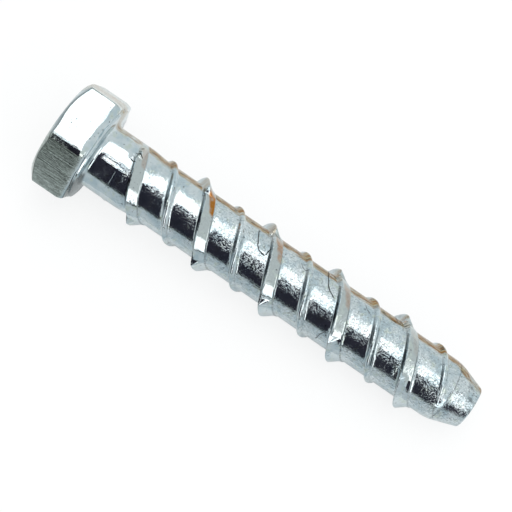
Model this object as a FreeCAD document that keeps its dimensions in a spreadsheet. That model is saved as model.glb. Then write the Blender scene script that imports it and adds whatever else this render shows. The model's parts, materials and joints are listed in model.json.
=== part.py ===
import FreeCAD, Part
import math
import os
import Sketcher

# Concrete screw: one piece of zinc plated steel, forged at the head and rolled at the thread.
# It lies as it would come to rest, on one flat of its hexagon head and on the crest of its thread.
# The body is built about its own X axis, with x = 0 at the bearing face and the tip at +X.
# Angles round the axis start at the top flat (+Z) and turn towards -Y, as the thread advances.

NODE = "concrete_screw"
SIDES = 6
SAME_PLACE = 1e-4
REST_MESH_STEP = 0.02

# Driving sizes, in millimetres and degrees
SIZES = [
    # Hexagon head
    ("across_flats", 18.7),
    ("head_height", 7.8),
    ("chamfer_inset", 0.65),
    ("chamfer_angle", 30.0),
    ("washer_face_inset", 0.55),
    ("washer_face_height", 0.4),
    ("head_edge_radius", 0.8),
    ("underhead_radius", 0.9),
    # Shank, core and tip
    ("length", 76.2),
    ("shank_diameter", 11.8),
    ("shank_length", 4.6),
    ("shank_step_length", 0.5),
    ("core_diameter", 11.2),
    ("taper_length", 4.8),
    ("tip_diameter", 7.6),
    ("tip_edge_radius", 0.5),
    # Helix of the main thread: how far past the shank it crosses the top of the screw
    ("pitch", 13.74),
    ("helix_lead", 1.77),
    ("root_overlap", 0.3),
    ("run_in_overlap", 5.0),
    # Land: the low, sloping main thread, which runs all the way
    ("land_height", 0.75),
    ("land_drop", 0.55),
    ("land_width", 2.05),
    ("land_head_flank", 0.3),
    ("land_tip_flank", 0.2),
    ("land_start_angle", -9.0),
    ("land_run_in", 59.0),
    ("thread_run_out", 84.0),
    ("thread_end_gap", 1.8),
    # Ridges: the tall pieces of the main thread, with a step at each end
    ("ridge_height", 1.6),
    ("ridge_crest_width", 0.24),
    ("ridge_head_flank", 0.45),
    ("ridge_tip_flank", 2.05),
    ("ridge_first_angle", 99.0),
    ("ridge_span", 229.0),
    ("ridge_period", 343.5),
    # Low thread: a small trapezoid, a little past midway between the turns of the land
    ("low_thread_lag", 0.675),
    ("low_thread_height", 0.67),
    ("low_thread_base_width", 1.3),
    ("low_thread_crest_width", 0.45),
    ("low_thread_run_in", 45.0),
    ("low_thread_run_out", 60.0),
    ("low_thread_end_gap", 0.6),
]

# Expressions for what follows from the driving sizes
CORNER_RADIUS = "sizes.across_flats / sqrt(3)"
CHAMFER_RIM = "(sizes.across_flats / 2 - sizes.chamfer_inset)"
WASHER_RADIUS = "(sizes.across_flats / 2 - sizes.washer_face_inset)"
CORE_RADIUS = "sizes.core_diameter / 2"
ROOT_RADIUS = CORE_RADIUS + " - sizes.root_overlap"
TAPER_START = "sizes.length - sizes.taper_length"
MAIN_HELIX = "(sizes.shank_length + sizes.helix_lead)"
LOW_HELIX = "(%s + sizes.pitch / 2 + sizes.low_thread_lag)" % MAIN_HELIX

# Thread outlines: distance along the screw from the helix, and radius
LAND_OUTLINE = [
    ("-sizes.land_head_flank", ROOT_RADIUS),
    ("0", CORE_RADIUS + " + sizes.land_height"),
    ("sizes.land_width", CORE_RADIUS + " + sizes.land_height - sizes.land_drop"),
    ("sizes.land_width + sizes.land_tip_flank", ROOT_RADIUS),
]
HALF_CREST = "sizes.ridge_crest_width / 2"
RIDGE_OUTLINE = [
    ("-%s - sizes.ridge_head_flank" % HALF_CREST, ROOT_RADIUS),
    ("-" + HALF_CREST, CORE_RADIUS + " + sizes.ridge_height"),
    (HALF_CREST, CORE_RADIUS + " + sizes.ridge_height"),
    (HALF_CREST + " + sizes.ridge_tip_flank", ROOT_RADIUS),
]
LOW_OUTLINE = [
    ("-sizes.low_thread_base_width / 2", ROOT_RADIUS),
    ("-sizes.low_thread_crest_width / 2", CORE_RADIUS + " + sizes.low_thread_height"),
    ("sizes.low_thread_crest_width / 2", CORE_RADIUS + " + sizes.low_thread_height"),
    ("sizes.low_thread_base_width / 2", ROOT_RADIUS),
]


def make_sheet(doc):
    """Put the driving sizes in a spreadsheet, one aliased cell each."""
    sheet = doc.addObject("Spreadsheet::Sheet", "sizes")
    for row, (name, value) in enumerate(SIZES, start=1):
        sheet.set("A%d" % row, name)
        sheet.set("B%d" % row, str(value))
        sheet.setAlias("B%d" % row, name)
    doc.recompute()
    return sheet


def origin_feature(body, role):
    """Return the body's own origin plane or axis with this role."""
    return next(feature for feature in body.Origin.OriginFeatures if feature.Role == role)


def number(body, expression):
    """Work out an expression on the sheet's sizes."""
    return float(body.evalExpression(expression))


def add_profile(body, name, plane, corners, shift="0", turn="0"):
    """Draw a closed polygon on an origin plane, each corner held by two bound dimensions.

    The sketch is moved by shift along the screw's axis, and turned by turn degrees round it.
    """
    sketch = body.newObject("Sketcher::SketchObject", name)
    sketch.AttachmentSupport = [(origin_feature(body, plane), "")]
    sketch.MapMode = "FlatFace"
    if plane == "XZ_Plane":
        round_axis = FreeCAD.Rotation(FreeCAD.Vector(1, 0, 0), 1)
        sketch.AttachmentOffset = FreeCAD.Placement(FreeCAD.Vector(), round_axis)
        sketch.setExpression(".AttachmentOffset.Base.x", shift)
        sketch.setExpression(".AttachmentOffset.Rotation.Angle", turn)
    else:
        sketch.setExpression(".AttachmentOffset.Base.z", shift)
    points = [FreeCAD.Vector(number(body, x), number(body, y), 0) for x, y in corners]
    count = len(points)
    for i in range(count):
        sketch.addGeometry(Part.LineSegment(points[i], points[(i + 1) % count]), False)
    for i in range(count):
        sketch.addConstraint(Sketcher.Constraint("Coincident", i, 2, (i + 1) % count, 1))
    for i, (x, y) in enumerate(corners):
        across = sketch.addConstraint(Sketcher.Constraint("DistanceX", -1, 1, i, 1, points[i].x))
        sketch.setExpression("Constraints[%d]" % across, x)
        up = sketch.addConstraint(Sketcher.Constraint("DistanceY", -1, 1, i, 1, points[i].y))
        sketch.setExpression("Constraints[%d]" % up, y)
    return sketch


def add_revolution(body, name, profile, kind="PartDesign::Revolution"):
    """Turn a profile once round the screw's axis, to add material or to cut it."""
    feature = body.newObject(kind, name)
    feature.Profile = profile
    feature.ReferenceAxis = (origin_feature(body, "X_Axis"), [""])
    feature.Angle = 360
    return feature


def add_fillet(doc, body, name, radius, chosen):
    """Round the edges of the last feature that the chosen test picks."""
    doc.recompute()
    base = body.Tip
    edges = ["Edge%d" % i for i, edge in enumerate(base.Shape.Edges, start=1) if chosen(edge)]
    fillet = body.newObject("PartDesign::Fillet", name)
    fillet.Base = (base, edges)
    fillet.setExpression("Radius", radius)


def is_circle_at(edge, x, radius):
    """Tell whether an edge is a circle round the screw's axis, at x and of this radius."""
    if not isinstance(edge.Curve, Part.Circle):
        return False
    return abs(edge.Curve.Center.x - x) < SAME_PLACE and abs(edge.Curve.Radius - radius) < SAME_PLACE


def is_straight_at(edge, x):
    """Tell whether an edge is a straight line that lies across the axis at x."""
    if not isinstance(edge.Curve, Part.Line):
        return False
    return all(abs(vertex.Point.x - x) < SAME_PLACE for vertex in edge.Vertexes)


def build_head(doc, body, sheet):
    """Pad the hexagon, chamfer its outer corners and round the edges of its bearing side."""
    corners = []
    for i in range(SIDES):
        angle = (i + 0.5) * 360 / SIDES
        corners.append(("%s * sin(%g)" % (CORNER_RADIUS, angle), "%s * cos(%g)" % (CORNER_RADIUS, angle)))
    hexagon = add_profile(body, "hexagon", "YZ_Plane", corners, shift="-sizes.head_height")
    head = body.newObject("PartDesign::Pad", "hexagon_head")
    head.Profile = hexagon
    head.setExpression("Length", "sizes.head_height - sizes.washer_face_height")

    beyond = "(2 * %s - %s)" % (CORNER_RADIUS, CHAMFER_RIM)
    chamfer = add_profile(body, "chamfer_triangle", "XZ_Plane", [
        ("-sizes.head_height", CHAMFER_RIM),
        ("-sizes.head_height + (%s - %s) * tan(sizes.chamfer_angle)" % (beyond, CHAMFER_RIM), beyond),
        ("-sizes.head_height", beyond),
    ])
    add_revolution(body, "head_chamfer", chamfer, "PartDesign::Groove")
    add_fillet(doc, body, "head_edge_round", "sizes.head_edge_radius",
               lambda edge: is_straight_at(edge, -sheet.washer_face_height))


def build_shank(doc, body, sheet):
    """Turn the washer face, shank, core and tapered tip, and round the neck and the tip."""
    inside_head = "-sizes.head_height / 2"
    outline = add_profile(body, "shank_outline", "XZ_Plane", [
        (inside_head, "0"),
        (inside_head, WASHER_RADIUS),
        ("0", WASHER_RADIUS),
        ("0", "sizes.shank_diameter / 2"),
        ("sizes.shank_length", "sizes.shank_diameter / 2"),
        ("sizes.shank_length + sizes.shank_step_length", CORE_RADIUS),
        (TAPER_START, CORE_RADIUS),
        ("sizes.length", "sizes.tip_diameter / 2"),
        ("sizes.length", "0"),
    ])
    add_revolution(body, "shank_and_core", outline)
    add_fillet(doc, body, "underhead_fillet", "sizes.underhead_radius",
               lambda edge: is_circle_at(edge, 0, sheet.shank_diameter / 2))
    add_fillet(doc, body, "tip_edge_round", "sizes.tip_edge_radius",
               lambda edge: is_circle_at(edge, sheet.length, sheet.tip_diameter / 2))
    doc.recompute()


def add_thread(body, name, outline, helix, start, span, rise="0"):
    """Sweep a thread outline round the screw, from start degrees over span degrees.

    helix is the place along the screw where the thread crosses the top. rise is how far the
    outline climbs on the way, and where it is negative the outline sinks.
    """
    shift = "%s + sizes.pitch * (%s) / 360" % (helix, start)
    profile = add_profile(body, name + "_outline", "XZ_Plane", outline, shift, start)
    thread = body.newObject("PartDesign::AdditiveHelix", name)
    thread.Profile = profile
    thread.ReferenceAxis = (profile, ["H_Axis"])
    thread.Mode = "pitch-height-angle"
    advance = "sizes.pitch * (%s) / 360" % span
    thread.setExpression("Pitch", "sizes.pitch")
    thread.setExpression("Height", advance)
    thread.setExpression("Angle", "atan((%s) / (%s))" % (rise, advance))


def sunk(outline, depth):
    """Return a thread outline that lies deeper in the core."""
    return [(x, "%s - (%s)" % (y, depth)) for x, y in outline]


def angle_at(helix, x):
    """Return the angle at which a thread's helix reaches x along the screw."""
    return "360 * (%s - %s) / sizes.pitch" % (x, helix)


def build_low_thread(body):
    """Sweep the low thread from the end of the shank to the taper, faded in and out."""
    depth = "sizes.low_thread_height + sizes.root_overlap / 2"
    start = angle_at(LOW_HELIX, "sizes.shank_length")
    full_from = "%s + sizes.low_thread_run_in - sizes.run_in_overlap" % start
    end = angle_at(LOW_HELIX, "%s - sizes.low_thread_end_gap" % TAPER_START)
    full_to = "%s - sizes.low_thread_run_out" % end
    add_thread(body, "low_thread_run_in", sunk(LOW_OUTLINE, depth), LOW_HELIX,
               start, "sizes.low_thread_run_in", depth)
    add_thread(body, "low_thread", LOW_OUTLINE, LOW_HELIX, full_from, "%s - (%s)" % (full_to, full_from))
    add_thread(body, "low_thread_run_out", LOW_OUTLINE, LOW_HELIX,
               full_to, "sizes.low_thread_run_out", "-(%s)" % depth)


def build_main_thread(body):
    """Sweep the land along the whole thread, and on it the tall ridges, one after another."""
    land_depth = "sizes.land_height + sizes.root_overlap / 2"
    ridge_depth = "sizes.ridge_height + sizes.root_overlap / 2"
    end = angle_at(MAIN_HELIX, "%s - sizes.thread_end_gap" % TAPER_START)
    full_from = "sizes.land_start_angle - sizes.run_in_overlap"
    full_to = "%s - sizes.thread_run_out" % end
    add_thread(body, "land_run_in", sunk(LAND_OUTLINE, land_depth), MAIN_HELIX,
               "sizes.land_start_angle - sizes.land_run_in", "sizes.land_run_in", land_depth)
    add_thread(body, "land", LAND_OUTLINE, MAIN_HELIX, full_from, "%s - (%s)" % (full_to, full_from))
    add_thread(body, "land_run_out", LAND_OUTLINE, MAIN_HELIX,
               full_to, "sizes.thread_run_out", "-(%s)" % land_depth)

    turn_left = number(body, "%s - sizes.ridge_first_angle" % full_to)
    count = math.ceil(turn_left / number(body, "sizes.ridge_period"))
    for i in range(count):
        start = "sizes.ridge_first_angle + %d * sizes.ridge_period" % i
        span = "min(sizes.ridge_span; %s - (%s))" % (full_to, start)
        add_thread(body, "ridge_%d" % (i + 1), RIDGE_OUTLINE, MAIN_HELIX, start, span)
    if number(body, span) < number(body, "sizes.ridge_span"):
        add_thread(body, "ridge_run_out", RIDGE_OUTLINE, MAIN_HELIX,
                   full_to, "sizes.thread_run_out", "-(%s)" % ridge_depth)


def rest_placement(shape, sheet):
    """Return how the screw lies: tipped about its head's edge until the thread meets the ground.

    The origin is then under the middle of the screw, on the ground.
    """
    points = shape.tessellate(REST_MESH_STEP)[0]
    edge_x = -sheet.washer_face_height - sheet.head_edge_radius
    edge_z = -sheet.across_flats / 2
    tip_down = min(math.atan2(p.z - edge_z, p.x - edge_x) for p in points if p.x > 0)
    turn = FreeCAD.Rotation(FreeCAD.Vector(0, 1, 0), math.degrees(tip_down))
    turned = [turn.multVec(p) for p in points]
    middle_x = (min(p.x for p in turned) + max(p.x for p in turned)) / 2
    return FreeCAD.Placement(FreeCAD.Vector(-middle_x, 0, -min(p.z for p in turned)), turn)


def check_document(doc, body):
    """Stop if a feature failed, or if the screw isn't one sound solid."""
    failed = [obj.Name for obj in doc.Objects if {"Invalid", "Error"} & set(obj.State)]
    if failed:
        raise RuntimeError("these features failed: " + ", ".join(failed))
    if body.Shape.isNull() or not body.Shape.isValid() or len(body.Shape.Solids) != 1:
        raise RuntimeError("the screw isn't one valid solid")


def main():
    """Build the screw, lay it down and write its shape."""
    doc = FreeCAD.newDocument("concrete_screw_model")
    sheet = make_sheet(doc)
    body = doc.addObject("PartDesign::Body", NODE)
    body.Label = NODE
    build_head(doc, body, sheet)
    build_shank(doc, body, sheet)
    build_low_thread(body)
    build_main_thread(body)
    doc.recompute()
    check_document(doc, body)
    body.Placement = rest_placement(body.Shape, sheet)
    doc.recompute()
    check_document(doc, body)
    print("%s: %.1f mm3, %d faces" % (body.Label, body.Shape.Volume, len(body.Shape.Faces)))
    os.makedirs("parts", exist_ok=True)
    body.Shape.exportStep(os.path.join("parts", body.Label + ".step"))


main()
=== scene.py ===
"""Looks of a hexagon-head concrete screw: bright zinc plated steel with a rolled double thread.

The screw is one piece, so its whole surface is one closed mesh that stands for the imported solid.
Lengths are in millimetres and angles in degrees, in the screw's own frame: x runs along the screw
from its bearing face to its tip, and angles start at the top flat and turn as the thread advances.
ScrewFrame turns that frame into the row's frame, in metres.
"""

import json
import logging
import math
from contextlib import contextmanager
from dataclasses import dataclass, field
from enum import Enum
from typing import Any, Callable, Iterator, Sequence

import bpy
import numpy as np
from mathutils import Matrix, Vector

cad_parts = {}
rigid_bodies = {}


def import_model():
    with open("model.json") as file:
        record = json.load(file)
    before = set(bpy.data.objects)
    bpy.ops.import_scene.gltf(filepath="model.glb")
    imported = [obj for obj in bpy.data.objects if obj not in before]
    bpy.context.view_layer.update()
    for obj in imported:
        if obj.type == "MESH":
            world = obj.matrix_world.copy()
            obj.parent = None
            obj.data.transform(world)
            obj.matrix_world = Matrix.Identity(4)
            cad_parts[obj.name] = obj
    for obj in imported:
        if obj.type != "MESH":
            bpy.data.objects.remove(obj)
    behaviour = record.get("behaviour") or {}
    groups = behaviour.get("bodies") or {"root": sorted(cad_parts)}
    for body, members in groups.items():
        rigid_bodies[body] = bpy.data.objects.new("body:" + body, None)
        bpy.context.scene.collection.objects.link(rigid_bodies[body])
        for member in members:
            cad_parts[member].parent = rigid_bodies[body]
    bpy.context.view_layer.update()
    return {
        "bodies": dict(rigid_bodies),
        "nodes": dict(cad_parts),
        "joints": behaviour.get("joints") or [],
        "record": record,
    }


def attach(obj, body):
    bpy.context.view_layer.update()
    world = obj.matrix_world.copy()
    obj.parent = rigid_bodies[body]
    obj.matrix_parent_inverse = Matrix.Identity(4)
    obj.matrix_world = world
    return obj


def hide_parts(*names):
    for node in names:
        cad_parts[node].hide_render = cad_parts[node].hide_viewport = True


LOG = logging.getLogger("concrete_screw")
MM = 0.001
Array = np.ndarray
Object = bpy.types.Object
Material = bpy.types.Material
Socket = bpy.types.NodeSocket
ColumnShape = Callable[[Array], tuple[Array, Array]]
Outline = Sequence[tuple[float, float]]
Waves = Sequence[tuple[float, float, float]]


# Small tools for editing meshes


def deselect_all() -> None:
    """Leave nothing selected in object mode."""
    bpy.ops.object.select_all(action="DESELECT")


def make_active(obj: Object) -> None:
    """Select one object alone and make it the active one.

    Args:
        obj: The object.
    """
    deselect_all()
    obj.select_set(True)
    bpy.context.view_layer.objects.active = obj


@contextmanager
def editing(obj: Object) -> Iterator[None]:
    """Open an object in edit mode, and come back to object mode after it.

    Args:
        obj: The object.
    """
    make_active(obj)
    bpy.ops.object.mode_set(mode="EDIT")
    try:
        yield
    finally:
        bpy.ops.object.mode_set(mode="OBJECT")


def read_points(obj: Object) -> Array:
    """Read a mesh's vertices.

    Args:
        obj: The mesh's object.

    Returns:
        One row for each vertex.
    """
    points = np.zeros(len(obj.data.vertices) * 3, np.float32)
    obj.data.vertices.foreach_get("co", points)
    return points.reshape(-1, 3).astype(float)


def write_points(obj: Object, points: Array) -> None:
    """Move a mesh's vertices to the given places."""
    obj.data.vertices.foreach_set("co", points.astype(np.float32).ravel())
    obj.data.update()


def around(points: Array) -> tuple[Array, Array]:
    """Return each point's angle round the screw, in degrees, and its distance from the axis."""
    angle = np.degrees(np.arctan2(-points[:, 1], points[:, 2]))
    return angle, np.hypot(points[:, 1], points[:, 2])


def placed(x: Array, angle: Array, radius: Array) -> Array:
    """Return points at a place along the screw, an angle round it and a distance from its axis."""
    turn = np.radians(angle)
    return np.stack([x, -radius * np.sin(turn), radius * np.cos(turn)], axis=1)


def smoothstep(low: float, high: float, value: Array) -> Array:
    """Rise smoothly from 0 at low to 1 at high."""
    share = np.clip((value - low) / (high - low), 0.0, 1.0)
    return share * share * (3.0 - 2.0 * share)


def ripple(turn: Array, waves: Waves) -> Array:
    """Add up waves round the screw, each with its height, its count in a turn and its start."""
    return sum(height * np.sin(count * turn + start) for height, count, start in waves)


@dataclass(frozen=True)
class Band:
    """An amount that changes smoothly to its inside value, and back again where a second change is given."""

    into: tuple[float, float]
    out_of: tuple[float, float] | None = None
    outside: float = 0.0
    inside: float = 1.0

    def at(self, value: Array) -> Array:
        """Find the amount.

        Args:
            value: Places along the screw, or angles round it.

        Returns:
            The amount at each of them.
        """
        share = smoothstep(*self.into, value)
        if self.out_of:
            share = share * smoothstep(*self.out_of, value)
        return self.outside + (self.inside - self.outside) * share


@dataclass(frozen=True)
class Streak:
    """An amount that is most along a line and fades on both its sides."""

    middle: float
    width: float
    amount: float

    def at(self, value: Array) -> Array:
        """Return the amount at each place or angle."""
        return self.amount * np.exp(-((value - self.middle) / self.width) ** 2)


@dataclass(frozen=True)
class Spot:
    """A patch of the surface: its middle, its half sizes along the screw and round it, and its height."""

    x: float
    angle: float
    length: float
    width: float
    height: float = 1.0

    def apart(self, x: Array, angle: Array) -> Array:
        """Return the square of each place's distance from the middle, counted in half sizes."""
        return ((x - self.x) / self.length) ** 2 + ((angle - self.angle) / self.width) ** 2


# The screw's forms


@dataclass(frozen=True)
class ScrewFrame:
    """Where the lying screw's own frame is in the row's frame."""

    matrix: Matrix

    @classmethod
    def from_record(cls, record: dict[str, Any], head_height: float) -> "ScrewFrame":
        """Read the screw's axis and place from its mounts.

        Args:
            record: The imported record.
            head_height: The head's height, from its outer face to the bearing face.

        Returns:
            The frame whose matrix takes millimetres along the screw to metres in the row.
        """
        mounts = {mount["name"]: mount for mount in record["mounts"]}
        axis = Vector(mounts["bearing_face"]["axis"]).normalized()
        bearing_centre = Vector(mounts["hex_drive"]["pos_m"]) + axis * head_height * MM
        side = Vector((0.0, 1.0, 0.0))
        turn = Matrix((axis, side, axis.cross(side))).transposed().to_4x4()
        return cls(Matrix.Translation(bearing_centre) @ turn @ Matrix.Scale(MM, 4))


@dataclass
class RingShell:
    """A surface of rings one after another along the screw, each ring's shape given by angle."""

    name: str
    angles: Array
    rings: Sequence[ColumnShape]
    weld: float = 1e-4

    def build(self) -> Object:
        """Wrap a grid round the screw and close its seam.

        Returns:
            The shell, with an open edge at its first and last ring unless they meet at a pole.
        """
        deselect_all()
        columns, rows = len(self.angles) + 1, len(self.rings)
        bpy.ops.mesh.primitive_grid_add(x_subdivisions=columns - 1, y_subdivisions=rows - 1, size=2.0)
        shell = bpy.context.object
        shell.name = self.name
        flat = read_points(shell)
        column = np.rint((flat[:, 0] + 1.0) / 2.0 * (columns - 1)).astype(int)
        row = np.rint((flat[:, 1] + 1.0) / 2.0 * (rows - 1)).astype(int)
        angles = np.append(self.angles, self.angles[0] + 360.0)
        points = np.zeros_like(flat)
        for index, ring in enumerate(self.rings):
            chosen = row == index
            angle = angles[column[chosen]]
            x, radius = ring(angle)
            points[chosen] = placed(x, angle, radius)
        write_points(shell, points)
        with editing(shell):
            bpy.ops.mesh.select_all(action="SELECT")
            bpy.ops.mesh.remove_doubles(threshold=self.weld)
        return shell


def circle(x: float, radius: float) -> ColumnShape:
    """Return a round ring at x."""
    return lambda angle: (np.full_like(angle, x), np.full_like(angle, radius))


@dataclass
class HexHead:
    """Hexagon head with its chamfer, washer face, neck fillet and the plain shank.

    Rings near an edge are placed in widths of its small rounding, which soft gives: those past the
    chamfer's edge by how far along they are, and by how far in from the hexagon.
    """

    across_flats: float = 18.7
    height: float = 7.8
    face_rings: tuple[float, ...] = (0.0, 3.0, 6.0)
    chamfer_radius: float = 8.8
    chamfer_angle: float = 37.0
    past_chamfer: Outline = ((0.3, 0.12), (1.4, 0.0), (2.0, 0.0))
    flat_shares: tuple[float, ...] = (0.33, 0.66)
    soft: float = 0.12
    corner_round: float = 0.35
    worn_corner: float = 30.0
    worn_reach: float = 20.0
    worn_corner_round: float = 1.5
    worn_chamfer: Streak = Streak(30.0, 9.0, 0.45)
    edge_length: float = 1.05
    edge_waves: Waves = ((0.10, 7.0, 0.0), (0.08, 17.0, 2.0))
    edge_drop: float = 0.36
    edge_curve: float = 1.25
    edge_tuck: float = 0.16
    edge_tuck_from: float = 0.8
    washer_radius: float = 8.8
    washer_height: float = 0.4
    neck_radius: float = 0.9
    shank_radius: float = 5.9
    shank_end: float = 3.2
    columns_per_flat: int = 40
    arc_steps: int = 6

    def outline(self, angle: Array) -> Array:
        """Draw the hexagon, with its corners rounded.

        Args:
            angle: Angles round the head.

        Returns:
            The radius at each of them.
        """
        flat = self.across_flats / 2
        off_flat = (angle + 30.0) % 60.0 - 30.0
        plain = flat / np.cos(np.radians(off_flat))
        worn = np.abs((angle - self.worn_corner + 180.0) % 360.0 - 180.0) < self.worn_reach
        corner_round = np.where(worn, self.worn_corner_round, self.corner_round)
        centre = (flat - corner_round) / math.cos(math.radians(30.0))
        off_corner = np.radians(30.0 - np.abs(off_flat))
        root = corner_round ** 2 - (centre * np.sin(off_corner)) ** 2
        rounded = centre * np.cos(off_corner) + np.sqrt(np.maximum(root, 0.0))
        arc_from = np.degrees(np.arctan((flat - corner_round) * math.tan(math.radians(30.0)) / flat))
        return np.where(np.abs(off_flat) > arc_from, rounded, plain)

    def chamfer_edge(self, angle: Array) -> Array:
        """Return where along the screw the chamfer meets the hexagon's side."""
        rise = math.tan(math.radians(self.chamfer_angle)) * (1.0 - self.worn_chamfer.at(angle))
        return -self.height + (self.outline(angle) - self.chamfer_radius) * rise

    def soft_edge(self, angle: Array, share: float) -> tuple[Array, Array]:
        """Draw a ring of the uneven soft edge on the bearing side.

        Args:
            angle: Angles round the head.
            share: How far across the edge the ring is, from the flat at 0 to the bearing side at 1.

        Returns:
            The place along the screw and the radius at each angle.
        """
        length = self.edge_length * (1.0 + ripple(np.radians(angle), self.edge_waves))
        x = -self.washer_height - self.soft - length * (1.0 - share) + self.soft * share
        tucked = max(share - self.edge_tuck_from, 0.0) / (1.0 - self.edge_tuck_from)
        return x, self.outline(angle) - self.edge_drop * share ** self.edge_curve - self.edge_tuck * tucked

    def columns(self) -> Array:
        """Return the angles of the head's columns, closer together near the corners."""
        eased = 30.0 * np.sin(np.linspace(-1.0, 1.0, self.columns_per_flat, endpoint=False) * math.pi / 2)
        return np.concatenate([eased + flat for flat in range(0, 360, 60)])

    def rings(self) -> list[ColumnShape]:
        """Draw the head's rings.

        Returns:
            The rings, from the middle of the outer face to the end of the shank.
        """
        outer, bearing, soft, rim = -self.height, -self.washer_height, self.soft, self.chamfer_radius
        rise = math.tan(math.radians(self.chamfer_angle))
        rings = [circle(outer, radius) for radius in (*self.face_rings, rim - soft)]
        rings += [circle(outer + soft * 0.15, rim), circle(outer + soft * (rise + 0.1), rim + soft)]
        for past, inset in ((-rise, 1.0), *self.past_chamfer):
            rings.append(lambda a, p=past, i=inset: (self.chamfer_edge(a) + soft * p, self.outline(a) - soft * i))
        flat_end = bearing - 1.5 * self.edge_length
        for share in self.flat_shares:
            rings.append(lambda a, s=share: ((1 - s) * self.chamfer_edge(a) + s * flat_end, self.outline(a)))
        edge_steps = 2 * self.arc_steps
        rings += [lambda a, s=step / edge_steps: self.soft_edge(a, s) for step in range(edge_steps + 1)]
        washer = ((bearing, 0.25), (bearing * 0.75, 0.05), (-soft, 0.0), (-soft * 0.3, -soft * 0.3), (0.0, -soft))
        rings += [circle(x, self.washer_radius + wider) for x, wider in washer]
        for step in range(self.arc_steps + 1):
            turn = math.radians(90.0 * step / self.arc_steps)
            x, wider = self.neck_radius * (1 - math.cos(turn)), self.neck_radius * (1 - math.sin(turn))
            rings.append(circle(x, self.shank_radius + wider))
        rings.append(circle((self.neck_radius + self.shank_end) / 2, self.shank_radius))
        rings.append(circle(self.shank_end, self.shank_radius))
        return rings

    def build(self) -> Object:
        """Build the head and shank as one shell, open at the shank's end."""
        return RingShell("head_shell", self.columns(), self.rings()).build()


@dataclass
class Tip:
    """Tapered tip with a rounded end."""

    start: float
    length: float
    core: Callable[[float], float]
    edge_radius: float = 0.5
    columns: int = 120
    arc_steps: int = 6

    def rings(self) -> list[ColumnShape]:
        """Draw the tip's rings.

        Returns:
            The rings, from the thread's end to the middle of the end face.
        """
        end_radius = self.core(self.length)
        lean = math.atan(self.core(self.length - 1.0) - end_radius)
        arc = math.pi / 2 - lean
        back = self.edge_radius * math.tan(arc / 2)
        centre_x, centre_r = self.length - self.edge_radius, end_radius - back
        straight = self.length - back * math.cos(lean) - self.start
        places = [self.start + share * straight for share in (0.0, 0.35, 0.7, 1.0)]
        rings = [circle(x, self.core(x)) for x in places]
        for step in range(1, self.arc_steps + 1):
            turn = arc - arc * step / self.arc_steps
            reach, rise = self.edge_radius * math.cos(turn), self.edge_radius * math.sin(turn)
            rings.append(circle(centre_x + reach, centre_r + rise))
        return rings + [circle(self.length, centre_r * 0.5), circle(self.length, 0.0)]

    def build(self) -> Object:
        """Build the tip's shell, open where the thread's shell ends."""
        angles = np.arange(self.columns) * 360.0 / self.columns
        return RingShell("tip_shell", angles, self.rings()).build()


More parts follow.
